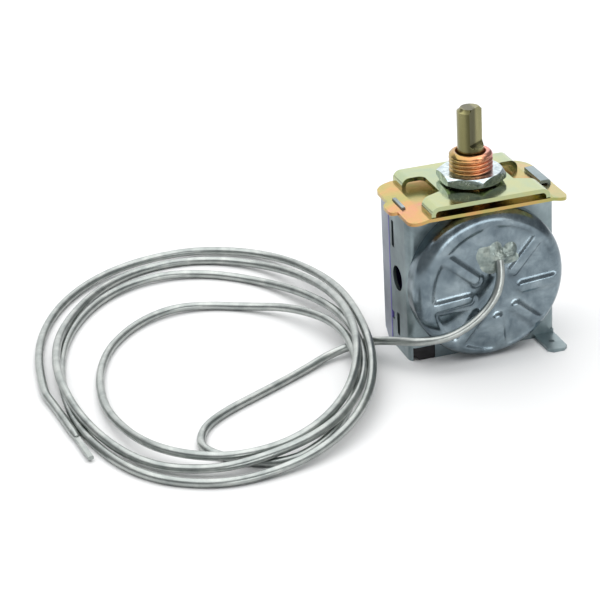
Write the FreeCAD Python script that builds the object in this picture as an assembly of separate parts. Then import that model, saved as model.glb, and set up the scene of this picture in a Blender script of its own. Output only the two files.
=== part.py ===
import FreeCAD, Part
import math
import os
from FreeCAD import Vector

# Rotary capillary thermostat. Sizes are in millimetres and angles in degrees.
# The spindle's axis is the Z axis, the case stands on z = 0, and the ribbed disc faces -Y.

# Case: a front frame and a rear cover of thin steel, with a liner between them
case_width = 36.1
case_height = 37.0
spindle_setback = 5.6
frame_depth = 11.6
cover_depth = 5.5
sheet = 0.8
bend_radius = 0.9
liner_sheet = 0.3
cover_bevel = 3.0
cover_notch_height = 2.2
cover_notch_depth = 0.7
cover_notch_z = 21.9

# Openings of the frame's left side, each from its distance behind the front wall
slot_setback = 8.7
slot_width = 1.4
slot_bottom = 25.4
slot_length = 6.5
port_setback = 7.0
port_z = 18.4
port_radius = 3.0
lower_slot_setback = 6.5
lower_slot_width = 1.7
lower_slot_bottom = 3.8
lower_slot_length = 5.6
rear_nick_depth = 1.6
rear_nick_bottom = 6.6
rear_nick_height = 2.0

# Earth tab, bent forward from the foot of the front wall
tab_inset = 2.75
tab_width = 4.8
tab_length = 8.8
tab_hole_radius = 0.65
tab_hole_setback = 4.3
tab_corner = 1.1

# Top plate, with wings that droop over the case's sides
plate_sheet = 0.8
plate_overhang = 1.15
wing_width = 4.2
plate_front = 12.3
plate_back = 12.6
plate_corner = 3.0
wing_drop = 12.0
lug_reach = 1.5
lug_length = 6.6
tongue_length = 6.2
flap_length = 9.1
flap_y = 0.9
flap_reach = 2.6
flap_round = 0.7
fit_gap = 0.1

# Bridge, the bent bracket that carries the bushing
bridge_sheet = 1.0
bridge_width = 28.6
bridge_top = 40.2
bridge_front = 12.0
bridge_back = 12.8
bridge_bend = 0.9
notch_back = 6.9
notch_front_inner = 3.3
notch_front_outer = 6.0
notch_inner_x = 9.0
notch_round = 1.5
tenon_length = 2.4

# Bushing and lock nut; in the nut's grip both stand near the thread's middle radius
thread_radius = 5.0
grip_radius = 4.7
thread_height = 7.2
bushing_flange_radius = 6.3
bushing_flange = 1.2
bushing_chamfer = 0.7
mouth_radius = 3.36
mouth_depth = 1.0
hub_radius = 5.2
running_gap = 0.05
nut_flats = 14.0
nut_thickness = 2.3
nut_lift = 0.4
nut_turn = 28.0
nut_bevel = 30.0

# Spindle and cam
spindle_radius = 3.0
spindle_projection = 10.4
spindle_chamfer = 0.8
flat_across = 4.5
flat_length = 9.2
flat_direction = -55.0
stem_radius = 2.2
staked_head = 0.4
staked_radius = 2.6
bushing_tail = 0.6
tail_radius = 4.5
washer_thickness = 0.5
washer_radius = 4.4
cam_thickness = 2.4
cam_low = 3.5
cam_rise = 0.9
cam_span = 270.0
cam_points = 18

# Lever bracket inside the front wall
bracket_sheet = 0.8
bracket_half_width = 8.3
bracket_bottom = 6.4
bracket_top = 27.0
pin_radius = 1.0
pin_head_radius = 1.6
pin_head = 0.5
pin_end = 0.5
lever_sheet = 0.8
lever_half_width = 5.5

# Main lever, worked by the diaphragm's push button
main_pin_y = -2.2
main_pin_z = 8.2
main_web_y = -3.6
main_arm_z = 10.0
main_arm_half_width = 3.0
main_arm_reach = 8.8
main_web_top = 20.8
ear_radius = 1.7

# Range lever, worked by the cam
range_pin_y = 4.6
range_pin_z = 24.0
range_web_z = 25.0
range_web_front = 2.4
nose_z = 34.6
nose_radius = 0.8
leg_top = 35.4
leg_half_width = 2.6
range_ear_radius = 1.6

# Range spring, its plugs and the screw that sets it
spring_y = 0.4
spring_wire = 0.35
spring_mean_radius = 1.96
spring_pitch = 1.6
wire_sides = 6
plug_radius = 1.6
plug_height = 2.6
screw_radius = 1.2
screw_head_radius = 2.1
screw_head = 1.4
screw_slot = 0.5
screw_length = 7.0
anchor_head_radius = 1.9
anchor_head = 0.7
anchor_shank_radius = 1.0

# Power element: cover, diaphragm and backing
disc_overhang = 0.25
disc_foot_gap = 0.35
disc_sheet = 0.6
disc_depth = 6.0
shoulder_inset = 1.9
shoulder_start = 4.1
field_inset = 4.1
field_drop = 0.9
shoulder_bulge_out = 0.28
shoulder_bulge_back = 0.22
field_bulge_back = 0.3
lip_width = 1.9
rib_count = 8
rib_radius = 1.6
rib_height = 0.75
rib_start = 5.0
rib_end_inset = 2.4
rib_centre_x = 1.2
rib_centre_drop = 2.6
rib_first = 4.0
backing_sheet = 0.8
backing_seat_inset = 6.3
diaphragm_sheet = 0.2
diaphragm_waves = 3
wave_height = 0.5
diaphragm_boss_radius = 5.0
button_radius = 2.4
button_head_radius = 4.8
button_head = 0.9
button_nose = 0.9
button_nose_radius = 0.8
button_hole_gap = 0.2

# Braze patch over the capillary's root
patch_x = 1.6
patch_z = 24.6
patch_radius = 3.3
patch_height = 1.3
bead_x = 4.9
bead_z = 26.5
bead_radius = 1.6
bead_height = 1.5

# Terminal base and switch
base_height = 6.0
base_nib_width = 5.25
base_nib_height = 3.2
base_nib_chamfer = 1.5
frame_window_height = 3.3
pocket_half_width = 5.5
pocket_depth = 1.4
blade_x = 9.8
blade_width = 4.8
blade_sheet = 0.8
blade_reach = 9.0
blade_front_y = 2.0
blade_point = 0.9
window_gap = 0.4
rivet_y = 3.7
rivet_radius = 1.2
rivet_head_radius = 1.9
rivet_head = 0.6
rivet_depth = 4.0
arm_y = 7.5
arm_width = 3.2
arm_sheet = 0.3
arm_overhang = 1.8
ear_height = 1.4
ear_thickness = 0.8
ear_length = 3.0
contact_radius = 1.5
fixed_contact_height = 0.2
contact_gap = 0.95
insulator_radius = 1.4
insulator_gap = 0.15
cover_rivet_x = 3.9
cover_rivet_z = 4.4
cover_rivet_length = 3.2

# Capillary: the lead's route is chosen by hand, from the braze to the coil's inner wall
capillary_radius = 1.0
lead_route = [
    (2.6, -11.75, 25.0), (1.5, -13.2, 20.7), (-3.0, -14.2, 14.6), (-11.0, -14.5, 10.1), (-18.0, -12.4, 8.9),
    (-22.4, -4.8, 6.4), (-26.4, 2.6, 3.4), (-34.0, 3.6, 1.5), (-43.5, -2.0, 1.0), (-55.0, -8.3, 1.0),
    (-65.5, -13.8, 1.0), (-72.5, -20.0, 1.0), (-75.2, -30.0, 1.0),
]
coil_centre = (-60.5, 14.5)
coil_half_sizes = (38.8, 61.0)
coil_eye_centre = (-58.0, 3.0)
coil_eye_half_sizes = (27.0, 33.6)
coil_height = 10.4
tunnel_side = 3.4
tunnel_roof = 1.4
tunnel_left = -36.0
tunnel_right = -18.0
arc_share = 0.45
tail_route = [(-99.916, 5.911, 1.0), (-99.208, -2.0, 1.0), (-98.7, -9.5, 1.0)]
tip_length = 13.0
tip_neck = 3.0
tip_across = 0.72
tip_flat = 0.6

# Levels and edges that follow from the sizes above
half_width = case_width / 2
front_y = -spindle_setback
joint_y = front_y + frame_depth
cover_front_y = joint_y + liner_sheet
rear_y = cover_front_y + cover_depth
inner_x = half_width - sheet
tab_x = half_width - tab_inset
base_nib_end = inner_x - base_nib_width
plate_width = case_width + 2 * plate_overhang
plate_flat_width = plate_width - 2 * wing_width
disc_radius = half_width + disc_overhang
disc_z = disc_radius + disc_foot_gap
shoulder_radius = disc_radius - shoulder_inset
field_radius = disc_radius - field_inset
rib_end_radius = disc_radius - rib_end_inset
backing_seat_radius = disc_radius - backing_seat_inset
plate_top = case_height + plate_sheet
bridge_under = bridge_top - bridge_sheet
bridge_half = bridge_width / 2
bushing_foot = case_height - bushing_tail
bushing_top = bridge_top + thread_height
spindle_top = bushing_top + spindle_projection
cam_top = bushing_foot - washer_thickness - 2 * running_gap
cam_bottom = cam_top - cam_thickness
spindle_foot = cam_bottom - staked_head
cam_middle = cam_low + cam_rise / 2
bracket_y = front_y + sheet
bracket_web_back = bracket_y + bracket_sheet
disc_face = front_y - disc_depth
disc_field = disc_face + field_drop
backing_front = front_y - disc_sheet - backing_sheet
blade_z = base_height
arm_z = blade_z + blade_sheet + ear_height
liner_x = inner_x - liner_sheet
base_back = rear_y - sheet - liner_sheet


# Plain shapes
def box(x0, x1, y0, y1, z0, z1):
    return Part.makeBox(x1 - x0, y1 - y0, z1 - z0, Vector(x0, y0, z0))


def rod(radius, start, direction, length):
    return Part.makeCylinder(radius, length, Vector(*start), Vector(*direction))


def face_of(points):
    corners = [Vector(*p) for p in points]
    return Part.Face(Part.makePolygon(corners + corners[:1]))


def prism(points, direction):
    return face_of(points).extrude(Vector(*direction))


def fillet_where(shape, radius, wanted):
    edges = [edge for edge in shape.Edges if wanted(edge)]
    return shape.makeFillet(radius, edges) if edges else shape


def is_line(edge):
    return isinstance(edge.Curve, (Part.Line, Part.LineSegment))


def runs_along(edge, axis):
    if not is_line(edge):
        return False
    step = edge.Vertexes[-1].Point - edge.Vertexes[0].Point
    return abs(abs(step.normalize().dot(Vector(*axis))) - 1) < 1e-6


def middle(edge):
    return (edge.Vertexes[0].Point + edge.Vertexes[-1].Point) * 0.5


def near(a, b):
    return abs(a - b) < 1e-4


def revolve(points, axis_point, axis):
    return face_of(points).revolve(Vector(*axis_point), Vector(*axis), 360)


# The wings' underside height at a distance from the middle, and the space above it
def wing_under(x):
    return case_height - (abs(x) - plate_flat_width / 2) * math.tan(math.radians(wing_drop))


def space_over_case():
    reach = plate_width
    low = wing_under(reach)
    roof = spindle_top
    flat = plate_flat_width / 2
    outline = [(-reach, low), (-flat, case_height), (flat, case_height), (reach, low), (reach, roof),
               (-reach, roof)]
    return prism([(x, -reach, z) for x, z in outline], (0, 2 * reach, 0))


def left_tongue(grow=0.0):
    side = (-half_width - grow, -inner_x + grow)
    ends = (-tongue_length / 2 - grow, tongue_length / 2 + grow)
    return box(*side, *ends, case_height - 2 * sheet, plate_top - fit_gap)


def right_tongue(grow=0.0):
    ends = (flap_y - flap_length / 2 - grow, flap_y + flap_length / 2 + grow)
    return box(inner_x - grow, half_width + grow, *ends, case_height - 2 * sheet, plate_top + fit_gap)


# The flap bent over the plate, which clamps the plate to the frame
def right_flap():
    ends = (flap_y - flap_length / 2, flap_y + flap_length / 2)
    flap = box(half_width - flap_reach, half_width, *ends, plate_top, plate_top + sheet)
    return fillet_where(flap, flap_round, lambda e: runs_along(e, (0, 1, 0))
                        and near(middle(e).x, half_width) and near(middle(e).z, plate_top + sheet))


def frame_side_openings():
    x0 = -half_width - sheet
    x1 = -inner_x + sheet
    slot_y = front_y + slot_setback
    low_y = front_y + lower_slot_setback
    slot = box(x0, x1, slot_y, slot_y + slot_width, slot_bottom, slot_bottom + slot_length)
    port = rod(port_radius, (x0, front_y + port_setback, port_z), (1, 0, 0), x1 - x0)
    low = box(x0, x1, low_y, low_y + lower_slot_width, lower_slot_bottom, lower_slot_bottom + lower_slot_length)
    nick_y = joint_y - rear_nick_depth
    nick = box(x0, x1, nick_y, joint_y + sheet, rear_nick_bottom, rear_nick_bottom + rear_nick_height)
    return [slot, port, low, nick]


def earth_tab():
    x0 = tab_x - tab_width / 2
    x1 = tab_x + tab_width / 2
    tip = front_y - tab_length
    outline = [(x0, front_y + sheet), (x0, tip + tab_corner), (x0 + tab_corner, tip), (x1 - tab_corner, tip),
               (x1, tip + tab_corner), (x1, front_y + sheet)]
    tab = prism([(x, y, 0) for x, y in outline], (0, 0, sheet))
    return tab.cut(rod(tab_hole_radius, (tab_x, tip + tab_hole_setback, -sheet), (0, 0, 1), 3 * sheet))


def front_frame():
    outer = box(-half_width, half_width, front_y, joint_y, 0, case_height)
    inner = box(-inner_x, inner_x, front_y + sheet, joint_y + sheet, -sheet, case_height + sheet)
    walls = outer.cut(inner)
    walls = fillet_where(walls, bend_radius + sheet, lambda e: runs_along(e, (0, 0, 1))
                         and near(abs(middle(e).x), half_width) and near(middle(e).y, front_y))
    walls = fillet_where(walls, bend_radius, lambda e: runs_along(e, (0, 0, 1))
                         and near(abs(middle(e).x), inner_x) and near(middle(e).y, front_y + sheet))
    walls = walls.cut(space_over_case())
    button_hole = rod(button_head_radius + button_hole_gap, (0, front_y - sheet, disc_z), (0, 1, 0), 3 * sheet)
    window = box(-inner_x, -base_nib_end, front_y - sheet, front_y + 2 * sheet, -sheet, frame_window_height)
    walls = walls.cut([button_hole, window] + frame_side_openings())
    tab_root = box(tab_x - tab_width / 2, tab_x + tab_width / 2, front_y, front_y + sheet, 0, 2 * sheet)
    return walls.fuse([left_tongue(), right_tongue(), right_flap(), tab_root, earth_tab()]).removeSplitter()


def side_profile(x, y0, y1, z0, z1, bevel):
    return [(x, y0, z0), (x, y1 - bevel, z0), (x, y1, z0 + bevel), (x, y1, z1), (x, y0, z1)]


def blade_windows(grow):
    openings = []
    for x in (-blade_x, blade_x):
        span = blade_width / 2 + grow
        openings.append(box(x - span, x + span, base_back - sheet, rear_y + sheet, blade_z - grow,
                            blade_z + blade_sheet + grow))
    return openings


def cover_rivet_shafts(radius, y0, y1):
    return [rod(radius, (x, y0, cover_rivet_z), (0, 1, 0), y1 - y0) for x in (-cover_rivet_x, cover_rivet_x)]


def rear_cover():
    outer = prism(side_profile(-half_width, cover_front_y, rear_y, 0, case_height, cover_bevel),
                  (case_width, 0, 0))
    inner = box(-inner_x, inner_x, cover_front_y - sheet, rear_y - sheet, -sheet, case_height - sheet)
    shell = outer.cut(inner)
    shell = fillet_where(shell, bend_radius, lambda e: runs_along(e, (0, 0, 1))
                         and near(abs(middle(e).x), half_width) and near(middle(e).y, rear_y))
    notch = box(-half_width - sheet, -half_width + 2 * sheet, rear_y - cover_notch_depth, rear_y + sheet,
                cover_notch_z, cover_notch_z + cover_notch_height)
    cuts = [space_over_case(), notch] + blade_windows(window_gap)
    cuts += cover_rivet_shafts(rivet_radius, rear_y - 2 * sheet, rear_y + sheet)
    shell = shell.cut(cuts)
    return shell.cut(box(-half_width, half_width, rear_y - sheet, rear_y + sheet, -sheet, cover_bevel))


# The liner shows as a thin violet edge between frame and cover, and lines the cover
def insulating_liner():
    edge = box(-half_width, half_width, joint_y, cover_front_y, 0, case_height)
    edge = edge.cut(box(-liner_x, liner_x, joint_y - sheet, cover_front_y + sheet, -sheet, case_height - 2 * sheet))
    tray = box(-inner_x, inner_x, joint_y, rear_y - sheet, 0, case_height - sheet)
    hollow = box(-liner_x, liner_x, joint_y - sheet, base_back, -sheet, case_height - sheet - liner_sheet)
    liner = edge.fuse(tray.cut(hollow)).removeSplitter()
    corner = [(rear_y, 0), (rear_y - cover_bevel, 0), (rear_y, cover_bevel)]
    bevel = prism([(-half_width, y, z) for y, z in corner], (case_width, 0, 0))
    cuts = [space_over_case(), bevel] + blade_windows(window_gap)
    cuts += cover_rivet_shafts(rivet_radius, base_back - sheet, rear_y)
    return liner.cut(cuts)


# The moulded base's front corners clear the frame's rounded bends
def terminal_base():
    outline = side_profile(-liner_x, front_y + sheet, base_back, 0, base_height, cover_bevel)
    block = prism(outline, (2 * liner_x, 0, 0))
    nib = box(-inner_x + fit_gap, -base_nib_end - fit_gap, front_y + fit_gap, front_y + 2 * sheet, 0,
              base_nib_height)
    block = block.fuse(nib).removeSplitter()
    foot_bevel = prism([(-half_width, -case_width, 0), (-inner_x + base_nib_chamfer, -case_width, 0),
                        (-half_width, -case_width, base_nib_chamfer + sheet)], (0, case_width + main_web_y, 0))
    pocket = box(-pocket_half_width, pocket_half_width, blade_front_y, base_back - sheet,
                 base_height - pocket_depth,
                 base_height + sheet)
    bend_end = front_y + sheet + bend_radius
    clear_x = inner_x - bend_radius
    above = base_height + sheet
    left_bend = box(-half_width, -clear_x, front_y, bend_end, base_nib_height, above)
    right_bend = box(clear_x, half_width, front_y, bend_end, -sheet, above)
    holes = [rod(rivet_radius, (x, rivet_y, base_height - rivet_depth), (0, 0, 1), rivet_depth + sheet)
             for x in (-blade_x, blade_x)]
    holes += cover_rivet_shafts(rivet_radius, base_back - cover_rivet_length, base_back + sheet)
    return block.cut([foot_bevel, pocket, left_bend, right_bend] + holes)


def top_plate():
    half = plate_width / 2
    flat = plate_flat_width / 2
    under = [(-half, wing_under(half)), (-flat, case_height), (flat, case_height), (half, wing_under(half))]
    over = [(x, z + plate_sheet) for x, z in reversed(under)]
    plate = prism([(x, -plate_front, z) for x, z in under + over], (0, plate_front + plate_back, 0))
    plate = fillet_where(plate, plate_corner,
                         lambda e: runs_along(e, (0, 0, 1)) and near(abs(middle(e).x), half))
    x0 = -half - lug_reach
    x1 = -half + lug_reach
    y0 = -lug_length / 2
    lug_under = [(x0, wing_under(x0)), (x1, wing_under(x1))]
    lug_over = [(x, z + plate_sheet) for x, z in reversed(lug_under)]
    lug = prism([(x, y0, z) for x, z in lug_under + lug_over], (0, lug_length, 0))
    lug = fillet_where(lug, lug_length / 2 - lug_reach,
                       lambda e: runs_along(e, (0, 0, 1)) and near(middle(e).x, x0))
    plate = plate.fuse(lug).removeSplitter()
    hub_hole = rod(hub_radius + 2 * fit_gap, (0, 0, case_height - sheet), (0, 0, 1), 3 * sheet)
    return plate.cut([hub_hole, left_tongue(fit_gap), right_tongue(fit_gap)] + tenons(fit_gap / 2))


# Four tenons on the bridge's feet pass through slots in the plate
def tenons(grow=0.0):
    blocks = []
    middles = (-(bridge_front + notch_front_outer) / 2, (bridge_back + notch_back) / 2)
    for side in (-1, 1):
        x = side * (bridge_half - bridge_sheet / 2)
        for y in middles:
            blocks.append(box(x - bridge_sheet / 2 - grow, x + bridge_sheet / 2 + grow, y - tenon_length / 2 - grow,
                              y + tenon_length / 2 + grow, case_height, plate_top + sheet))
    return blocks


def bridge_notch(side):
    z0 = plate_top - sheet
    outer = bridge_half + sheet
    points = [(outer, notch_back), (notch_inner_x, notch_back), (notch_inner_x, -notch_front_inner),
              (outer, -notch_front_outer)]
    notch = prism([(side * x, y, z0) for x, y in points], (0, 0, bridge_top - z0 + sheet))
    return fillet_where(notch, notch_round, lambda e: runs_along(e, (0, 0, 1))
                        and near(abs(middle(e).x), notch_inner_x) and middle(e).y > 0)


def bridge_bracket():
    outer = box(-bridge_half, bridge_half, -bridge_front, bridge_back, plate_top, bridge_top)
    inner = box(-bridge_half + bridge_sheet, bridge_half - bridge_sheet, -bridge_front - sheet,
                bridge_back + sheet,
                plate_top - sheet, bridge_under)
    hat = outer.cut(inner)
    hat = fillet_where(hat, bridge_bend + bridge_sheet, lambda e: runs_along(e, (0, 1, 0))
                       and near(abs(middle(e).x), bridge_half) and near(middle(e).z, bridge_top))
    hat = fillet_where(hat, bridge_bend, lambda e: runs_along(e, (0, 1, 0))
                       and near(middle(e).z, bridge_under))
    hat = hat.cut([bridge_notch(-1), bridge_notch(1)])
    hat = hat.cut(rod(thread_radius, (0, 0, bridge_under - sheet), (0, 0, 1), 3 * bridge_sheet))
    return hat.fuse([tenon.common(box(-bridge_half, bridge_half, -bridge_front, bridge_back, case_height, plate_top
                                      + sheet)) for tenon in tenons()]).removeSplitter()


def bushing():
    flange_foot = bridge_under - bushing_flange
    bore = spindle_radius + running_gap
    rim = thread_radius - bushing_chamfer
    nut_foot = bridge_top + nut_lift
    nut_top = nut_foot + nut_thickness
    profile = [(bore, bushing_foot), (tail_radius, bushing_foot), (tail_radius, case_height),
               (hub_radius, case_height), (hub_radius, flange_foot),
               (bushing_flange_radius, flange_foot), (bushing_flange_radius, bridge_under),
               (thread_radius, bridge_under), (thread_radius, nut_foot), (grip_radius, nut_foot),
               (grip_radius, nut_top), (thread_radius, nut_top),
               (thread_radius, bushing_top - bushing_chamfer), (rim, bushing_top),
               (mouth_radius, bushing_top), (mouth_radius, bushing_top - mouth_depth),
               (bore, bushing_top - mouth_depth - mouth_radius + bore)]
    return revolve([(r, 0, z) for r, z in profile], (0, 0, 0), (0, 0, 1))


def lock_nut():
    corner = nut_flats / math.sqrt(3)
    foot = bridge_top + nut_lift
    top = foot + nut_thickness
    turn = math.radians(nut_turn)
    points = [(corner * math.cos(turn + k * math.pi / 3), corner * math.sin(turn + k * math.pi / 3), foot)
              for k in range(6)]
    hexagon = prism(points, (0, 0, nut_thickness))
    slope = (corner - nut_flats / 2) * math.tan(math.radians(nut_bevel))
    half = nut_flats / 2
    crown = [(0, foot), (half, foot), (corner, foot + slope), (corner, top - slope), (half, top), (0, top)]
    nut = hexagon.common(revolve([(r, 0, z) for r, z in crown], (0, 0, 0), (0, 0, 1)))
    return nut.cut(rod(grip_radius, (0, 0, foot - sheet), (0, 0, 1), nut_thickness + 2 * sheet))


def spindle():
    step = bushing_foot
    rim = spindle_radius - spindle_chamfer
    profile = [(0, spindle_foot), (staked_radius, spindle_foot), (staked_radius, cam_bottom),
               (stem_radius, cam_bottom), (stem_radius, step), (spindle_radius, step),
               (spindle_radius, spindle_top - spindle_chamfer), (rim, spindle_top), (0, spindle_top)]
    shaft = revolve([(r, 0, z) for r, z in profile], (0, 0, 0), (0, 0, 1))
    depth = flat_across - spindle_radius
    slab = box(depth, 2 * spindle_radius, -2 * spindle_radius, 2 * spindle_radius, spindle_top - flat_length,
               spindle_top + sheet)
    slab.rotate(Vector(0, 0, 0), Vector(0, 0, 1), flat_direction)
    return shaft.cut(slab)


def thrust_washer():
    disc = rod(washer_radius, (0, 0, cam_top + running_gap), (0, 0, 1), washer_thickness)
    return disc.cut(rod(stem_radius + running_gap, (0, 0, cam_top), (0, 0, 1), 2 * washer_thickness))


# The cam's radius falls evenly with the angle over its working span, then returns
def cam_radius(angle):
    away = (angle - 90 + 180) % 360 - 180
    half_span = cam_span / 2
    if abs(away) <= half_span:
        return cam_middle - cam_rise * away / cam_span
    rest = (away - half_span if away > 0 else away + 360 - half_span) / (360 - cam_span)
    return cam_low + cam_rise * (1 - math.cos(math.pi * rest)) / 2


def spindle_cam():
    points = []
    for k in range(cam_points):
        angle = 360 * k / cam_points
        r = cam_radius(angle)
        points.append(Vector(r * math.cos(math.radians(angle)), r * math.sin(math.radians(angle)), cam_bottom))
    curve = Part.BSplineCurve()
    curve.interpolate(Points=points, PeriodicFlag=True)
    disc = Part.Face(Part.Wire([curve.toShape()])).extrude(Vector(0, 0, cam_thickness))
    return disc.cut(rod(stem_radius, (0, 0, cam_bottom - sheet), (0, 0, 1), cam_thickness + 2 * sheet))


def lever_bracket():
    x = bracket_half_width
    y0 = bracket_y
    web = box(-x, x, y0, bracket_web_back, bracket_bottom, bracket_top)
    ear = range_pin_y + range_ear_radius
    foot = main_pin_y + 2 * pin_radius
    outline = [(y0, bracket_bottom), (foot, bracket_bottom), (foot, main_arm_z),
               (ear, range_pin_z - 2 * ear_radius),
               (ear, range_pin_z + range_ear_radius), (y0, bracket_top)]
    cheeks = [prism([(side, y, z) for y, z in outline], (bracket_sheet, 0, 0)) for side in (-x, x - bracket_sheet)]
    bracket = web.fuse(cheeks).removeSplitter()
    guide = rod(button_radius + running_gap, (0, y0 - sheet, disc_z), (0, 1, 0), 3 * bracket_sheet)
    pins = [rod(pin_radius, (-2 * x, y, z), (1, 0, 0), 4 * x)
            for y, z in ((main_pin_y, main_pin_z), (range_pin_y, range_pin_z))]
    return bracket.cut([guide] + pins)


def lever_pin(y, z):
    x = bracket_half_width
    shank = rod(pin_radius, (-x - pin_end, y, z), (1, 0, 0), 2 * x + pin_end)
    return shank.fuse(rod(pin_head_radius, (x, y, z), (1, 0, 0), pin_head)).removeSplitter()


def ear_plate(x, y, z, radius, up_to, y0, y1):
    disc = rod(radius, (x, y, z), (1, 0, 0), lever_sheet)
    stem = box(x, x + lever_sheet, y0, y1, z, up_to)
    return disc.fuse(stem)


def main_lever():
    w = lever_half_width
    web_back = main_web_y + lever_sheet
    web = box(-w, w, main_web_y, web_back, main_arm_z, main_web_top)
    arm_top = main_arm_z + lever_sheet
    arm = box(-main_arm_half_width, main_arm_half_width, main_web_y, main_arm_reach, main_arm_z, arm_top)
    bend = box(-w, w, main_web_y, main_pin_y + ear_radius, main_arm_z, arm_top)
    ears = [ear_plate(x, main_pin_y, main_pin_z, ear_radius, main_arm_z + lever_sheet / 2, main_web_y,
                      main_pin_y + ear_radius) for x in (-w, w - lever_sheet)]
    lever = web.fuse([arm, bend] + ears).removeSplitter()
    bore = rod(pin_radius + running_gap, (-2 * w, main_pin_y, main_pin_z), (1, 0, 0), 4 * w)
    anchor = rod(anchor_shank_radius, (0, spring_y, main_arm_z - sheet), (0, 0, 1), 3 * sheet)
    return lever.cut([bore, anchor])


def range_lever():
    w = lever_half_width
    leg_front = cam_middle + running_gap + nose_radius
    web = box(-w, w, -range_web_front, leg_front + lever_sheet, range_web_z, range_web_z + lever_sheet)
    leg = box(-leg_half_width, leg_half_width, leg_front, leg_front + lever_sheet, range_web_z, leg_top)
    nose = rod(nose_radius, (-leg_half_width, leg_front, nose_z), (1, 0, 0), 2 * leg_half_width)
    ears = [ear_plate(x, range_pin_y, range_pin_z, range_ear_radius, range_web_z + lever_sheet / 2,
                      range_pin_y - range_ear_radius, leg_front + lever_sheet) for x in (-w, w - lever_sheet)]
    lever = web.fuse([leg, nose] + ears).removeSplitter()
    bore = rod(pin_radius + running_gap, (-2 * w, range_pin_y, range_pin_z), (1, 0, 0), 4 * w)
    screw_hole = rod(screw_radius + running_gap, (0, spring_y, range_web_z - sheet), (0, 0, 1), 3 * sheet)
    return lever.cut([bore, screw_hole])


def range_screw():
    seat = range_web_z + lever_sheet
    head = rod(screw_head_radius, (0, spring_y, seat), (0, 0, 1), screw_head)
    shank = rod(screw_radius, (0, spring_y, seat - screw_length), (0, 0, 1), screw_length)
    slot = box(-screw_head_radius, screw_head_radius, spring_y - screw_slot / 2, spring_y + screw_slot / 2,
               seat + screw_head / 2, seat + 2 * screw_head)
    return head.fuse(shank).cut(slot).removeSplitter()


def plug_foot():
    return range_web_z + lever_sheet - screw_length


def spring_plug():
    plug = rod(plug_radius, (0, spring_y, plug_foot()), (0, 0, 1), plug_height)
    return plug.cut(rod(screw_radius, (0, spring_y, plug_foot() - sheet), (0, 0, 1), plug_height + 2 * sheet))


def spring_anchor():
    arm_top = main_arm_z + lever_sheet
    parts = [rod(anchor_head_radius, (0, spring_y, main_arm_z - anchor_head), (0, 0, 1), anchor_head),
             rod(anchor_shank_radius, (0, spring_y, main_arm_z), (0, 0, 1), lever_sheet),
             rod(plug_radius, (0, spring_y, arm_top), (0, 0, 1), plug_height)]
    return parts[0].fuse(parts[1:]).removeSplitter()


def range_spring():
    foot = main_arm_z + lever_sheet + spring_wire + running_gap
    top = plug_foot() + plug_height - spring_wire
    helix = Part.makeHelix(spring_pitch, top - foot, spring_mean_radius)
    helix.translate(Vector(0, spring_y, foot))
    start = helix.Edges[0].valueAt(helix.Edges[0].FirstParameter)
    heading = helix.Edges[0].tangentAt(helix.Edges[0].FirstParameter)
    out = Vector(1, 0, 0)
    across = heading.cross(out).normalize()
    corners = []
    for k in range(wire_sides):
        angle = 2 * math.pi * k / wire_sides
        corners.append(start + out * (spring_wire * math.cos(angle)) + across * (spring_wire * math.sin(angle)))
    section = Part.makePolygon(corners + corners[:1])
    return Part.Wire(helix.Edges).makePipeShell([section], True, True)


# Power element
def about_disc(points):
    return revolve([(r, y, disc_z) for r, y in points], (0, 0, disc_z), (0, 1, 0))


# The outside as a filled dish: side wall, rounded shoulder and a field that sits lower than the shoulder
def dish():
    crest = Vector(shoulder_radius, disc_face, disc_z)
    wall_end = Vector(disc_radius, front_y - shoulder_start, disc_z)
    field_end = Vector(field_radius, disc_field, disc_z)
    outer_bulge = Vector((disc_radius + shoulder_radius) / 2 + (disc_radius - shoulder_radius) * shoulder_bulge_out,
                         disc_face + (wall_end.y - disc_face) * shoulder_bulge_back, disc_z)
    inner_bulge = Vector((shoulder_radius + field_radius) / 2, disc_face + field_drop * field_bulge_back,
                         disc_z)
    rim = Vector(disc_radius, front_y, disc_z)
    edges = [Part.makeLine(Vector(0, front_y, disc_z), rim), Part.makeLine(rim, wall_end),
             Part.Arc(wall_end, outer_bulge, crest).toShape(), Part.Arc(crest, inner_bulge,
                                                                        field_end).toShape(),
             Part.makeLine(field_end, Vector(0, disc_field, disc_z)),
             Part.makeLine(Vector(0, disc_field, disc_z), Vector(0, front_y, disc_z))]
    return Part.Face(Part.Wire(edges)).revolve(Vector(0, 0, disc_z), Vector(0, 1, 0), 360)


# The space inside the dish, one sheet in from it, with straight flanks
def dish_inside():
    wall = disc_radius - disc_sheet
    crest = disc_face + disc_sheet
    field = disc_field + disc_sheet
    return about_disc([(0, front_y), (wall, front_y), (wall, front_y - shoulder_start),
                       (shoulder_radius + disc_sheet, crest + disc_sheet), (shoulder_radius - disc_sheet,
                                                                            crest),
                       (field_radius, field), (0, field)])


# Each rib is a bead, round-ended near the rib centre, that runs out into the shoulder
def ribs(inset):
    beads = []
    radius = rib_radius - inset
    axis_y = disc_field - rib_height + rib_radius
    cx = rib_centre_x
    cz = disc_z - rib_centre_drop
    for k in range(rib_count):
        angle = math.radians(rib_first + 360 * k / rib_count)
        step = Vector(math.cos(angle), 0, math.sin(angle))
        along = cx * step.x - rib_centre_drop * step.z
        aside = cx * cx + rib_centre_drop * rib_centre_drop - along * along
        reach = math.sqrt(rib_end_radius ** 2 - aside) - along
        start = Vector(cx, axis_y, cz) + step * (rib_start + rib_radius)
        beads.append(Part.makeCylinder(radius, reach - rib_start - rib_radius, start, step))
        if inset == 0:
            beads.append(Part.makeSphere(radius, start))
    return beads


def filled_cover():
    return dish().fuse(ribs(0))


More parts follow.
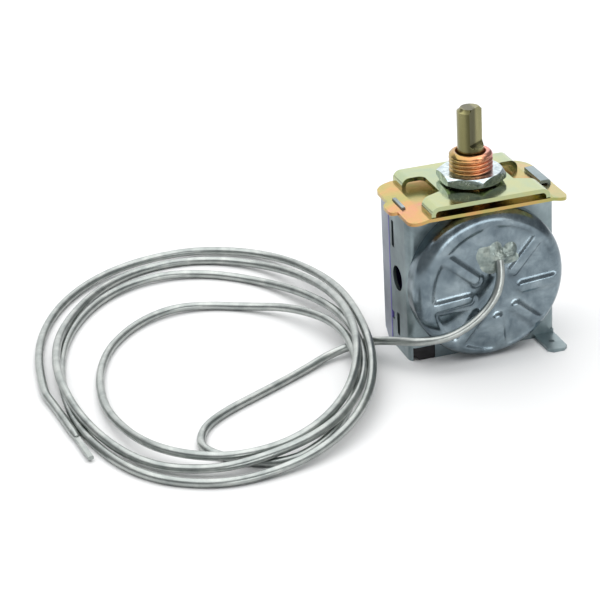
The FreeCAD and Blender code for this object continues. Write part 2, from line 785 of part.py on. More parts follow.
def diaphragm_cover():
    outside = filled_cover()
    inside = dish_inside().fuse(ribs(disc_sheet))
    behind = rod(disc_radius, (0, front_y, disc_z), (0, 1, 0), disc_radius)
    shell = outside.cut(behind).cut(inside)
    lip_ring = rod(disc_radius - disc_sheet / 2, (0, front_y - disc_sheet, disc_z), (0, 1, 0), disc_sheet)
    lip_ring = lip_ring.cut(rod(disc_radius - lip_width, (0, front_y - 2 * disc_sheet, disc_z), (0, 1, 0),
                                4 * disc_sheet))
    return shell.fuse(lip_ring).removeSplitter()


def diaphragm_backing():
    rim = disc_radius - disc_sheet
    hole = button_head_radius + button_hole_gap
    step = backing_seat_radius
    y0 = backing_front
    y1 = backing_front + backing_sheet
    profile = [(hole, front_y - backing_sheet), (step, front_y - backing_sheet), (step + disc_sheet, y0),
               (rim, y0),
               (rim, y1), (step + 2 * disc_sheet, y1), (step + disc_sheet, front_y), (hole, front_y)]
    return about_disc(profile)


# A thin disc pressed into flat-sided waves between its boss and its clamped rim
def diaphragm():
    rim = disc_radius - disc_sheet
    wave_end = backing_seat_radius + 2 * disc_sheet
    step = (wave_end - diaphragm_boss_radius) / (2 * diaphragm_waves)
    seat = backing_front - diaphragm_sheet
    front = [(0, seat)]
    for k in range(2 * diaphragm_waves + 1):
        front.append((diaphragm_boss_radius + k * step, seat - (k % 2) * wave_height))
    front.append((rim, seat))
    back = [(r, y + diaphragm_sheet) for r, y in reversed(front)]
    return about_disc(front + back)


def push_button():
    y0 = backing_front
    nose = main_web_y - running_gap
    return about_disc([(0, y0), (button_head_radius, y0), (button_head_radius, y0 + button_head),
                       (button_radius, y0 + button_head), (button_radius, nose - button_nose),
                       (button_nose_radius, nose), (0, nose)])


# Capillary: straight runs joined by tangent arcs
def rounded_path(points):
    vectors = [Vector(*p) for p in points]
    edges = []
    here = vectors[0]
    radii = []
    for before, corner, after in zip(vectors, vectors[1:], vectors[2:]):
        arriving = (corner - before)
        leaving = (after - corner)
        shorter = min(arriving.Length, leaving.Length)
        arriving.normalize()
        leaving.normalize()
        turn = math.acos(max(-1, min(1, arriving.dot(leaving))))
        setback = arc_share * shorter
        radius = setback / math.tan(turn / 2)
        radii.append(radius)
        enter = corner - arriving * setback
        leave = corner + leaving * setback
        bisector = (leaving - arriving).normalize()
        bulge = corner + bisector * (radius / math.cos(turn / 2) - radius)
        edges.append(Part.makeLine(here, enter))
        edges.append(Part.Arc(enter, bulge, leave).toShape())
        here = leave
    edges.append(Part.makeLine(here, vectors[-1]))
    return Part.Wire(edges), radii


def tube(points, radius):
    path, radii = rounded_path(points)
    heading = Vector(*points[1]) - Vector(*points[0])
    section = Part.Wire([Part.makeCircle(radius, Vector(*points[0]), heading)])
    solid = path.makePipeShell([section], True, False)
    print("tube length %.1f, volume ratio %.4f, least radius %.1f" % (
        path.Length, solid.Volume / (math.pi * radius ** 2 * path.Length), min(radii)))
    return solid


def oval(centre, half_sizes, height):
    swap = half_sizes[1] > half_sizes[0]
    long_half, short_half = max(half_sizes), min(half_sizes)
    ellipse = Part.Ellipse(Vector(0, 0, 0), long_half, short_half)
    edge = ellipse.toShape()
    if swap:
        edge.rotate(Vector(0, 0, 0), Vector(0, 0, 1), 90)
    edge.translate(Vector(centre[0], centre[1], 0))
    return Part.Face(Part.Wire([edge])).extrude(Vector(0, 0, height))


# A way cut through the coil's foot along one run of the lead
def tunnel(a, b, past):
    step = Vector(b[0] - a[0], b[1] - a[1], 0)
    roof = max(a[2], b[2]) + capillary_radius + tunnel_roof
    slab = Part.makeBox(step.Length + tunnel_side / 2 + past, tunnel_side, roof + sheet)
    slab.translate(Vector(-tunnel_side / 2, -tunnel_side / 2, -sheet))
    slab.rotate(Vector(0, 0, 0), Vector(0, 0, 1), math.degrees(math.atan2(step.y, step.x)))
    slab.translate(Vector(a[0], a[1], 0))
    return slab


# The coil's outer shape; the lead passes under its turns, and ends against its far side
def capillary_coil():
    body = oval(coil_centre, coil_half_sizes, coil_height)
    body = body.cut(oval(coil_eye_centre, coil_eye_half_sizes, coil_height))
    crossing = [p for p in lead_route if tunnel_left < p[0] < tunnel_right]
    ways = [tunnel(a, b, tunnel_side / 2) for a, b in zip(crossing, crossing[1:])]
    return body.cut(ways + [tunnel(lead_route[-2], lead_route[-1], 0)])


def capillary_lead():
    return tube(lead_route, capillary_radius)


# The free end: a short round stretch, then the narrowed and pinched tip
def capillary_tail():
    start = Vector(*tail_route[-1])
    heading = start - Vector(*tail_route[-2])
    heading.normalize()
    tip_radius = capillary_radius * tip_across
    neck = Part.makeCone(capillary_radius, tip_radius, tip_neck, start, heading)
    tip = Part.makeCylinder(tip_radius, tip_length - tip_neck, start + heading * tip_neck, heading)
    pinch = Part.makeBox(tip_length, 4 * tip_radius, tip_radius)
    pinch.translate(Vector(tip_neck, -2 * tip_radius, 0))
    pinch.rotate(Vector(0, 0, 0), Vector(0, 0, 1), math.degrees(math.atan2(heading.y, heading.x)))
    over = pinch.translated(start + Vector(0, 0, tip_radius * tip_flat))
    under = pinch.translated(start - Vector(0, 0, tip_radius * (1 + tip_flat)))
    return tube(tail_route, capillary_radius).fuse([neck, tip.cut([over, under])]).removeSplitter()


def low_mound(x, z, radius, height):
    field = disc_field
    ball = (radius * radius + height * height) / (2 * height)
    cap = Part.makeSphere(ball, Vector(x, field + ball - height, z))
    return cap.common(box(x - 2 * radius, x + 2 * radius, field - 2 * height, field, z - 2 * radius, z + 2 * radius))


def capillary_braze(lead):
    patch = low_mound(patch_x, patch_z, patch_radius, patch_height)
    bead = low_mound(bead_x, bead_z, bead_radius, bead_height)
    return patch.fuse(bead).removeSplitter().cut([lead, filled_cover()])


# Switch
def terminal(x, ear_side):
    y1 = rear_y + blade_reach
    half = blade_width / 2
    outline = [(x - half, blade_front_y), (x + half, blade_front_y), (x + half, y1 - blade_point),
               (x + half - blade_point, y1), (x - half + blade_point, y1), (x - half, y1 - blade_point)]
    blade = prism([(px, py, blade_z) for px, py in outline], (0, 0, blade_sheet))
    if ear_side:
        edge = x + ear_side * half
        ear = box(min(edge, edge - ear_side * ear_thickness), max(edge, edge - ear_side * ear_thickness),
                  arm_y - ear_length / 2, arm_y + ear_length / 2, blade_z, arm_z)
        blade = blade.fuse(ear).removeSplitter()
    return blade.cut(rod(rivet_radius, (x, rivet_y, blade_z - sheet), (0, 0, 1), 3 * sheet))


def terminal_rivets():
    rivets = []
    for x in (-blade_x, blade_x):
        shank = rod(rivet_radius, (x, rivet_y, base_height - rivet_depth), (0, 0, 1), rivet_depth + blade_sheet)
        head = rod(rivet_head_radius, (x, rivet_y, blade_z + blade_sheet), (0, 0, 1), rivet_head)
        rivets.append(shank.fuse(head).removeSplitter())
    return Part.makeCompound(rivets)


def cover_rivets():
    rivets = []
    for shank in cover_rivet_shafts(rivet_radius, base_back - cover_rivet_length, rear_y):
        head = rod(rivet_head_radius, (shank.BoundBox.Center.x, rear_y, cover_rivet_z), (0, 1, 0), rivet_head)
        rivets.append(shank.fuse(head).removeSplitter())
    return Part.makeCompound(rivets)


def fixed_contact():
    return rod(contact_radius, (blade_x, arm_y, blade_z + blade_sheet), (0, 0, 1), fixed_contact_height)


def moving_contact():
    foot = blade_z + blade_sheet + fixed_contact_height + contact_gap
    return rod(contact_radius, (blade_x, arm_y, foot), (0, 0, 1), arm_z - foot)


def contact_arm():
    x0 = -blade_x - blade_width / 2
    return box(x0, blade_x + arm_overhang, arm_y - arm_width / 2, arm_y + arm_width / 2, arm_z,
               arm_z + arm_sheet)


def insulating_button():
    height = main_arm_z - insulator_gap - arm_z - arm_sheet
    return rod(insulator_radius, (0, arm_y, arm_z + arm_sheet), (0, 0, 1), height)


def save(name, shape):
    solids = shape.Solids
    if len(solids) == 1:
        shape = solids[0]
    print("%-18s solids %d valid %s volume %.1f" % (name, len(solids), shape.isValid(), shape.Volume))
    shape.exportStep("parts/%s.step" % name)


os.makedirs("parts", exist_ok=True)
lead = capillary_lead()
save("front_frame", front_frame())
save("rear_cover", rear_cover())
save("insulating_liner", insulating_liner())
save("terminal_base", terminal_base())
save("top_plate", top_plate())
save("bridge_bracket", bridge_bracket())
save("bushing", bushing())
save("lock_nut", lock_nut())
save("spindle", spindle())
save("thrust_washer", thrust_washer())
save("spindle_cam", spindle_cam())
save("lever_bracket", lever_bracket())
save("main_lever", main_lever())
save("main_lever_pin", lever_pin(main_pin_y, main_pin_z))
save("range_lever", range_lever())
save("range_lever_pin", lever_pin(range_pin_y, range_pin_z))
save("range_screw", range_screw())
save("spring_plug", spring_plug())
save("spring_anchor", spring_anchor())
save("range_spring", range_spring())
save("push_button", push_button())
save("diaphragm_backing", diaphragm_backing())
save("diaphragm", diaphragm())
save("diaphragm_cover", diaphragm_cover())
save("capillary_braze", capillary_braze(lead))
save("capillary_lead", lead)
save("capillary_coil", capillary_coil())
save("capillary_tail", capillary_tail())
save("common_terminal", terminal(-blade_x, -1))
save("fixed_terminal", terminal(blade_x, 0))
save("terminal_rivets", terminal_rivets())
save("cover_rivets", cover_rivets())
save("fixed_contact", fixed_contact())
save("moving_contact", moving_contact())
save("contact_arm", contact_arm())
save("insulating_button", insulating_button())
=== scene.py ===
# %% [markdown]
# A capillary thermostat: a small steel case that carries a threaded bushing and a spindle on top, a ribbed disc in
# front, and a long thin tube that leaves the disc and lies beside the case in a loose coil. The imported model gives
# every rigid piece its shape and place. This lesson adds what a drawing leaves out: the tube as a real winding, the
# screw thread, the pressed ribs, the solder, and the plated and stained metals. The object's lengths are written in
# millimetres and turned into metres by MM where a shape is made. The floor and the lights are in metres.

# %% Load the frame
import math

import bmesh
import bpy
from mathutils import Matrix, Vector, noise
from mathutils.bvhtree import BVHTree


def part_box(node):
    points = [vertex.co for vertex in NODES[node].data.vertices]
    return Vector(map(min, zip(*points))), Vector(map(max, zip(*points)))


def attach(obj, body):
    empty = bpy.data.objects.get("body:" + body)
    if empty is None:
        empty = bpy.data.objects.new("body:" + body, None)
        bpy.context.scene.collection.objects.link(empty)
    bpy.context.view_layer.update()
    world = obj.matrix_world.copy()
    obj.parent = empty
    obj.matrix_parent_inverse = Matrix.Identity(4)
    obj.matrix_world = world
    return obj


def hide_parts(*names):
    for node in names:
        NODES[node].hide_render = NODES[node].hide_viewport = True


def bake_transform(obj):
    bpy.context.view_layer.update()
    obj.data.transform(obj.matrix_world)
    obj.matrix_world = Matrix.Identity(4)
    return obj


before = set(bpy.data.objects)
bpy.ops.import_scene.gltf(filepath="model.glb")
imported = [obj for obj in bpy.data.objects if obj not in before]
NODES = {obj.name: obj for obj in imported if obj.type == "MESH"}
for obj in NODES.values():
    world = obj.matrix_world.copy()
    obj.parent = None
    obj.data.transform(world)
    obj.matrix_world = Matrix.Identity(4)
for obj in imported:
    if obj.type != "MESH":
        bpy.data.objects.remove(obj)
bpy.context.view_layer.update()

MM = 0.001
print("pieces from the model:", len(NODES))

# %% [markdown]
# The camera comes first, because it decides how every shape and highlight is judged. A long lens looks from the left
# and a little from above. Its place and turn were fitted to the photograph, so they are written as a bearing, a
# height, a roll and a place, and not as a matrix that nobody could read or adjust.

# %% Camera
CAMERA_BEARING = math.radians(-16.87)
CAMERA_HEIGHT = math.radians(24.99)
CAMERA_ROLL = math.radians(-3.17)
CAMERA_PLACE = Vector((-178.34, -449.04, 236.84)) * MM
LENS_PIXELS = 2284.9
FRAME_PIXELS = 600
SENSOR_WIDTH = 36.0


def make_camera():
    data = bpy.data.cameras.new("camera")
    data.sensor_width = SENSOR_WIDTH
    data.lens = LENS_PIXELS / FRAME_PIXELS * SENSOR_WIDTH
    data.clip_start = 0.01
    camera = bpy.data.objects.new("camera", data)
    bpy.context.scene.collection.objects.link(camera)
    back = Vector((math.sin(CAMERA_BEARING) * math.cos(CAMERA_HEIGHT),
                   -math.cos(CAMERA_BEARING) * math.cos(CAMERA_HEIGHT), math.sin(CAMERA_HEIGHT)))
    right = Vector((math.cos(CAMERA_BEARING), math.sin(CAMERA_BEARING), 0))
    up = back.cross(right)
    turn = Matrix((right, up, back)).transposed().to_4x4() @ Matrix.Rotation(CAMERA_ROLL, 4, "Z")
    camera.matrix_world = Matrix.Translation(CAMERA_PLACE) @ turn
    bpy.context.scene.camera = camera
    return camera


print("lens in mm:", round(make_camera().data.lens, 1))

# %% [markdown]
# The sensing tube is one drawn tube, 2 mm thick, soldered into the disc. It could be a mesh pipe, but a curve with a
# round bevel keeps its section true in every bend. The first stretch has a few listed points: out of the
# solder, down across the disc, round the case's corner to the table and under the coil. The coil itself is wound by
# a loop. Turns that nothing ties differ in size, so the loop reads how far each turn reaches and how high it lies at
# eight bearings, and puts one more point half way between, on a smooth average of its neighbours. Three last points
# lead straight into the crimped tip. The thickness is given at each point and the bevel is 1, because the curve's own
# box counts the radius of its points.

# %% The tube's lead and coil
TUBE_RADIUS = 1.0
lead_route = [
    (1.8, -11.75, 24.8), (2.0, -13.2, 20.0), (-2.2, -14.2, 13.6), (-10.6, -14.5, 9.0), (-18.0, -12.4, 8.1),
    (-22.4, -4.8, 6.1), (-26.4, 2.6, 3.4), (-34.0, 3.6, 1.5), (-43.5, -2.0, 1.0), (-55.0, -8.3, 1.0),
    (-65.5, -13.8, 1.0), (-72.5, -20.0, 1.0), (-75.2, -30.0, 1.0),
]
tail_route = [(-99.916, 5.911, 1.0), (-99.208, -2.0, 1.0), (-98.7, -9.5, 1.0)]
COIL_CENTRE = Vector((-61.0, 12.0))
COIL_NARROWNESS = 0.64
FIRST_BEARING = -90
BEARING_STEP = 45
coil_reach = [
    54.5, 50.5,
    49.5, 35.5, 30.5, 32.5, 42.0, 55.0, 50.0, 49.5,
    53.5, 63.5, 58.0, 53.0, 56.5, 60.5, 52.5, 52.5,
    53.5, 53.5, 51.0, 50.5, 55.5, 65.5, 56.5, 56.0,
    57.0, 71.5, 61.5, 60.5, 62.0,
]
coil_level = [
    1.0, 3.2,
    4.7, 1.0, 1.5, 1.1, 1.1, 3.2, 3.1, 5.7,
    7.6, 1.6, 1.1, 1.7, 3.9, 1.2, 3.4, 4.9,
    5.1, 1.0, 1.5, 1.0, 1.0, 1.0, 1.4, 5.0,
    6.7, 1.4, 1.8, 1.0, 1.2,
]


def between(values, k):
    ends = values[max(k - 1, 0)] + values[min(k + 2, len(values) - 1)]
    return (9 * (values[k] + values[k + 1]) - ends) / 16


def coil_points():
    points = []
    for half_step in range(2 * len(coil_reach) - 1):
        k = half_step // 2
        halfway = half_step % 2 == 1
        reach = between(coil_reach, k) if halfway else coil_reach[k]
        level = between(coil_level, k) if halfway else coil_level[k]
        bearing = math.radians(FIRST_BEARING + BEARING_STEP * half_step / 2)
        points.append((COIL_CENTRE.x + COIL_NARROWNESS * reach * math.cos(bearing),
                       COIL_CENTRE.y + reach * math.sin(bearing), max(level, TUBE_RADIUS)))
    return points


def tube_curve(name, points, radius):
    data = bpy.data.curves.new(name, "CURVE")
    data.dimensions = "3D"
    data.bevel_depth = 1.0
    data.bevel_resolution = 6
    data.use_fill_caps = True
    data.resolution_u = 10
    line = data.splines.new("NURBS")
    line.points.add(len(points) - 1)
    for point, place in zip(line.points, points):
        point.co = (place[0] * MM, place[1] * MM, place[2] * MM, 1)
        point.radius = radius * MM
    line.order_u = 3
    line.use_endpoint_u = True
    curve = bpy.data.objects.new(name, data)
    bpy.context.scene.collection.objects.link(curve)
    return curve


tube_route = lead_route + coil_points() + tail_route
tube = tube_curve("sensing_tube", tube_route, TUBE_RADIUS)
print("tube points:", len(tube_route))

# %% [markdown]
# A buyer wants to know how long the tube is, and the curve can say it: the same line without its thickness is a chain
# of short edges, and their lengths add up. The crimped tip is a rigid piece that goes along with the tube.

# %% The tube's length
def line_length(curve):
    bare = curve.data.copy()
    bare.bevel_depth = 0
    mesh = bpy.data.meshes.new_from_object(bpy.data.objects.new("bare_line", bare))
    place = [v.co for v in mesh.vertices]
    return sum((place[a] - place[b]).length for a, b in (e.vertices for e in mesh.edges))


tube_length = line_length(tube)
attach(tube, "base")
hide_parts("capillary_lead", "capillary_coil")
print("tube length in metres:", round(tube_length, 3))

# %% [markdown]
# Materials and Geometry Nodes are both node trees, and both need sums. Writing every Math node by hand hides what is
# meant, so one small class lets a formula be written as a formula: each operation adds one Math node and hands back
# its result. The same class serves the shaders and the shapes.

# %% Formulas as nodes
class Term:
    def __init__(self, tree, socket):
        self.tree = tree
        self.socket = socket

    def math(self, operation, *others):
        node = self.tree.nodes.new("ShaderNodeMath")
        node.operation = operation
        for k, value in enumerate((self,) + others):
            if isinstance(value, Term):
                self.tree.links.new(value.socket, node.inputs[k])
            else:
                node.inputs[k].default_value = value
        return Term(self.tree, node.outputs[0])

    def __add__(self, other):
        return self.math("ADD", other)

    def __sub__(self, other):
        return self.math("SUBTRACT", other)

    def __mul__(self, other):
        return self.math("MULTIPLY", other)

    def __truediv__(self, other):
        return self.math("DIVIDE", other)

    def eased(self, start, end):
        node = self.tree.nodes.new("ShaderNodeMapRange")
        node.interpolation_type = "SMOOTHSTEP"
        self.tree.links.new(self.socket, node.inputs["Value"])
        for name, value in (("From Min", start), ("From Max", end)):
            if isinstance(value, Term):
                self.tree.links.new(value.socket, node.inputs[name])
            else:
                node.inputs[name].default_value = value
        return Term(self.tree, node.outputs["Result"])


def split(tree, socket):
    node = tree.nodes.new("ShaderNodeSeparateXYZ")
    tree.links.new(socket, node.inputs[0])
    return [Term(tree, output) for output in node.outputs]


print("formula operations:", [name for name in dir(Term) if not name.startswith("__")])

# %% [markdown]
# A turned or pressed round piece starts as a lathe: a profile of radius and distance along an axis, carried round in
# even steps. Spin could do it, but a plain loop leaves no doubles and lets the poles be closed with one vertex each.

# %% Lathe
def new_piece(name, mesh, body, slot_name, *replaced):
    piece = bpy.data.objects.new(name, mesh)
    bpy.context.scene.collection.objects.link(piece)
    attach(piece, body)
    if replaced:
        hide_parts(*replaced)
    return piece


def turned_mesh(name, profile, place, steps, closed):
    mesh = bmesh.new()
    rings = []
    for radius, along in profile:
        if radius == 0:
            rings.append([mesh.verts.new(place(0, 0, along) * MM)])
        else:
            angles = [2 * math.pi * k / steps for k in range(steps)]
            rings.append([mesh.verts.new(place(radius * math.cos(a), radius * math.sin(a), along) * MM)
                          for a in angles])
    pairs = list(zip(rings, rings[1:])) + ([(rings[-1], rings[0])] if closed else [])
    for one, two in pairs:
        for k in range(steps):
            corners = [one[k % len(one)], one[(k + 1) % len(one)], two[(k + 1) % len(two)], two[k % len(two)]]
            mesh.faces.new(list(dict.fromkeys(corners)))
    bmesh.ops.recalc_face_normals(mesh, faces=mesh.faces)
    data = bpy.data.meshes.new(name)
    mesh.to_mesh(data)
    mesh.free()
    return data


def standing(u, v, along):
    return Vector((u, v, along))


def shade_by_angle(data, degrees):
    data.shade_smooth()
    mesh = bmesh.new()
    mesh.from_mesh(data)
    for edge in mesh.edges:
        edge.smooth = len(edge.link_faces) == 2 and edge.calc_face_angle(0) < math.radians(degrees)
    mesh.to_mesh(data)
    mesh.free()


# %% [markdown]
# The disc is the cover of the pressure element: a shallow dish pressed from thin zinc-plated sheet. A second stroke
# of the press sinks a round field into its face and leaves eight ribs standing, which stiffen it. Modelling each rib
# by hand would repeat the same work eight times, so one rule makes them all: fold every point's bearing into an
# eighth of a turn, and hold back the field's sinking along the middle of that wedge. A Geometry Nodes tree applies
# the rule to a plain dish, so the sheet flows round each rib as pressed metal does. The field and the ribs aren't
# centred on the dish, which is why its shoulder is wide at the upper left and thins out towards the lower right.

# %% Rule for the field and its ribs
def new_tree(name, inputs):
    tree = bpy.data.node_groups.new(name, "GeometryNodeTree")
    tree.interface.new_socket(name="Geometry", in_out="INPUT", socket_type="NodeSocketGeometry")
    tree.interface.new_socket(name="Geometry", in_out="OUTPUT", socket_type="NodeSocketGeometry")
    for label in inputs:
        tree.interface.new_socket(name=label, in_out="INPUT", socket_type="NodeSocketFloat")
    tree.interface.new_socket(name="Material", in_out="INPUT", socket_type="NodeSocketMaterial")
    entry = tree.nodes.new("NodeGroupInput")
    place = tree.nodes.new("GeometryNodeInputPosition")
    values = {label: Term(tree, entry.outputs[label]) for label in inputs}
    return tree, entry, values, split(tree, place.outputs[0])


def finish_tree(tree, entry, geometry):
    realize = tree.nodes.new("GeometryNodeRealizeInstances")
    paint = tree.nodes.new("GeometryNodeSetMaterial")
    leave = tree.nodes.new("NodeGroupOutput")
    tree.links.new(geometry, realize.inputs[0])
    tree.links.new(realize.outputs[0], paint.inputs["Geometry"])
    tree.links.new(entry.outputs["Material"], paint.inputs["Material"])
    tree.links.new(paint.outputs[0], leave.inputs[0])


def moved(tree, entry, shifts):
    join = tree.nodes.new("ShaderNodeCombineXYZ")
    for k, shift in enumerate(shifts):
        if shift is not None:
            tree.links.new(shift.socket, join.inputs[k])
    move = tree.nodes.new("GeometryNodeSetPosition")
    tree.links.new(entry.outputs["Geometry"], move.inputs["Geometry"])
    tree.links.new(join.outputs[0], move.inputs["Offset"])
    return move.outputs[0]


def run_tree(name, source, tree, settings, material):
    carrier = bpy.data.objects.new(name + "_work", source)
    bpy.context.scene.collection.objects.link(carrier)
    modifier = carrier.modifiers.new(name, "NODES")
    modifier.node_group = tree
    for item in tree.interface.items_tree:
        if item.in_out == "INPUT" and item.name in settings:
            modifier[item.identifier] = float(settings[item.name])
        if item.in_out == "INPUT" and item.name == "Material":
            modifier[item.identifier] = material
    bpy.context.view_layer.update()
    shape = carrier.evaluated_get(bpy.context.evaluated_depsgraph_get())
    result = bpy.data.meshes.new_from_object(shape)
    result.name = name
    carrier.modifiers.clear()
    bpy.data.objects.remove(carrier)
    return result


FIELD_INPUTS = ["Drop", "Field X", "Field Z", "Field Radius", "Slope", "Crest Radius", "Roll", "Roll Depth", "Disc Z",
                "Rib Count", "Rib First", "Rib X", "Rib Z", "Rib Start", "Rib Half Width", "Rib Flank", "Rib Low"]
SHOULDER_BLEND = 0.6 * MM


def distance(one, two):
    return (one * one + two * two).math("SQRT")


def field_tree():
    tree, entry, v, (x, y, z) = new_tree("pressed_field", FIELD_INPUTS)
    wedge = v["Rib Count"].math("POWER", -1.0) * (2 * math.pi)
    u = x - v["Rib X"]
    w = z - v["Rib Z"]
    turn = w.math("ARCTAN2", u) - v["Rib First"] + wedge * 0.5
    folded = turn - (turn / wedge).math("FLOOR") * wedge - wedge * 0.5
    out = distance(u, w)
    before = (v["Rib Start"] - out * folded.math("COSINE")).math("MAXIMUM", 0.0)
    off = distance(before, out * folded.math("SINE"))
    rib = off.eased(v["Rib Half Width"] + v["Rib Flank"], v["Rib Half Width"] - v["Rib Flank"])
    crown = off.math("MINIMUM", v["Rib Half Width"]) / v["Rib Half Width"]
    from_field = distance(x - v["Field X"], z - v["Field Z"])
    sunk = from_field.eased(v["Field Radius"] + v["Slope"], v["Field Radius"]) * v["Drop"]
    standing_rib = rib * (sunk - v["Rib Low"] - crown * crown * v["Rib Low"]).math("MAXIMUM", 0.0)
    beyond = (distance(x, z - v["Disc Z"]) - v["Crest Radius"]).math("MAXIMUM", 0.0)
    past = (beyond / v["Roll"]).math("MINIMUM", 1.0)
    rolled = v["Roll Depth"] - (past * past * -1.0 + 1.0).math("SQRT") * v["Roll Depth"]
    lift = (sunk - standing_rib).math("SMOOTH_MAX", rolled, SHOULDER_BLEND) - rolled
    finish_tree(tree, entry, moved(tree, entry, (None, lift, None)))
    return tree


print("field tree inputs:", len(FIELD_INPUTS))

# %% [markdown]
# Every metal here is bare or plated steel, so each material is a metal whose colour, roughness and bump all vary.
# Stains and films are broad and soft, and rolling marks are fine and run one way. One helper builds the common part:
# a broad stain mixed from a few tones, a fine grain in the roughness, and a shallow bump. A stop is a place on the
# stain's scale and a colour. Stain and grain are counted per metre, and the bump's height is in millimetres.

# %% Plated metal helper
def new_material(name, metallic, roughness):
    material = bpy.data.materials.new(name)
    material.use_nodes = True
    tree = material.node_tree
    shader = tree.nodes["Principled BSDF"]
    shader.inputs["Metallic"].default_value = metallic
    shader.inputs["Roughness"].default_value = roughness
    return material, tree, shader


def object_place(tree, stretch=(1, 1, 1)):
    place = tree.nodes.new("ShaderNodeTexCoord")
    mapping = tree.nodes.new("ShaderNodeMapping")
    mapping.inputs["Scale"].default_value = stretch
    tree.links.new(place.outputs["Object"], mapping.inputs["Vector"])
    return mapping.outputs[0]


def cloud(tree, place, scale, detail=3.0, rough=0.55, distortion=0.0):
    node = tree.nodes.new("ShaderNodeTexNoise")
    node.inputs["Scale"].default_value = scale
    node.inputs["Detail"].default_value = detail
    node.inputs["Roughness"].default_value = rough
    node.inputs["Distortion"].default_value = distortion
    tree.links.new(place, node.inputs["Vector"])
    return Term(tree, node.outputs["Fac"])


def tones(tree, term, stops):
    ramp = tree.nodes.new("ShaderNodeValToRGB")
    tree.links.new(term.socket, ramp.inputs["Fac"])
    marks = ramp.color_ramp.elements
    while len(marks) < len(stops):
        marks.new(0.5)
    for mark, (position, colour) in zip(marks, stops):
        mark.position = position
        mark.color = (*colour, 1)
    return ramp.outputs["Color"]


def bumped(tree, shader, term, height):
    bump = tree.nodes.new("ShaderNodeBump")
    bump.inputs["Strength"].default_value = 1.0
    bump.inputs["Distance"].default_value = height * MM
    tree.links.new(term.socket, bump.inputs["Height"])
    tree.links.new(bump.outputs["Normal"], shader.inputs["Normal"])


STAIN_SHARE = 0.92
GRAIN_SHARE = 0.08
SMOOTHEST = 0.05


def plated(name, stops, roughness, spread, stain_scale, grain_scale, bump, grain=(1, 1, 1), metallic=1.0):
    material, tree, shader = new_material(name, metallic, roughness)
    stain = cloud(tree, object_place(tree), stain_scale, detail=4.0, rough=0.6, distortion=0.4)
    fine = cloud(tree, object_place(tree, grain), grain_scale, detail=2.0)
    tree.links.new(tones(tree, stain * STAIN_SHARE + fine * GRAIN_SHARE, stops), shader.inputs["Base Color"])
    rough = (fine * 0.5 + stain * 0.5 - 0.5) * (2 * spread) + roughness
    tree.links.new(rough.math("MAXIMUM", SMOOTHEST).socket, shader.inputs["Roughness"])
    bumped(tree, shader, fine, bump)
    return material


# %% [markdown]
# The zinc on the disc is a thin electroplate over rolled sheet: blue-grey, fairly bright, and mottled in soft patches
# where handling and flux have stained it. The case is galvanised sheet, duller, with its grain along one direction.
# The nut is small and handled most, so its patches are small too, and it is the brightest of them.

# %% Zinc and galvanised finishes
ROLLED = (1, 1, 0.12)
disc_finish = plated(
    "disc_zinc", [(0.34, (0.12, 0.155, 0.18)), (0.52, (0.20, 0.25, 0.28)), (0.70, (0.31, 0.37, 0.40))],
    roughness=0.24, spread=0.10, stain_scale=190, grain_scale=1600, bump=0.003, grain=(1, 1, 0.15))
frame_finish = plated(
    "frame_galvanised",
    [(0.34, (0.165, 0.205, 0.22)), (0.52, (0.235, 0.29, 0.305)), (0.70, (0.315, 0.375, 0.39))],
    roughness=0.36, spread=0.10, stain_scale=130, grain_scale=1400, bump=0.004, grain=ROLLED)
cover_finish = plated(
    "cover_galvanised",
    [(0.34, (0.25, 0.275, 0.325)), (0.52, (0.32, 0.345, 0.395)), (0.70, (0.39, 0.415, 0.46))],
    roughness=0.38, spread=0.08, stain_scale=130, grain_scale=1400, bump=0.004, grain=ROLLED)
nut_finish = plated(
    "nut_zinc", [(0.34, (0.34, 0.41, 0.44)), (0.50, (0.50, 0.58, 0.60)), (0.68, (0.68, 0.75, 0.73))],
    roughness=0.24, spread=0.12, stain_scale=700, grain_scale=2600, bump=0.02)
print("zinc finishes:", [m.name for m in (disc_finish, frame_finish, cover_finish, nut_finish)])

# %% [markdown]
# Yellow chromate is a conversion film over the zinc. Its thickness changes from place to place, and with it the
# colour, from pale green through straw to orange and pink. The plate shows the widest play, and the bridge is paler
# and more glossy. The spindle is olive, with a dark band down its length that is a painted reflection. The bushing's
# coppery film goes from olive on its left to pink on its right, and its darker left side is painted shade.

# %% Chromate finishes
plate_finish = plated(
    "plate_chromate",
    [(0.34, (0.32, 0.34, 0.12)), (0.48, (0.44, 0.35, 0.12)), (0.58, (0.54, 0.30, 0.12)), (0.68, (0.58, 0.25, 0.18))],
    roughness=0.22, spread=0.06, stain_scale=80, grain_scale=1500, bump=0.003)
bridge_finish = plated(
    "bridge_chromate", [(0.34, (0.34, 0.42, 0.29)), (0.50, (0.40, 0.45, 0.26)), (0.68, (0.47, 0.46, 0.21))],
    roughness=0.14, spread=0.04, stain_scale=90, grain_scale=1500, bump=0.002)


# The spindle's dark band is a painted reflection: a strip down the bar is darkened in its colour.
PAINTED_REFLECTION_FADES_IN = (-2.4 * MM, -1.2 * MM)
PAINTED_REFLECTION_FADES_OUT = (0.2 * MM, 1.2 * MM)
PAINTED_REFLECTION_DARKNESS = 0.40
BUSHING_WIDTH = 10.5 * MM


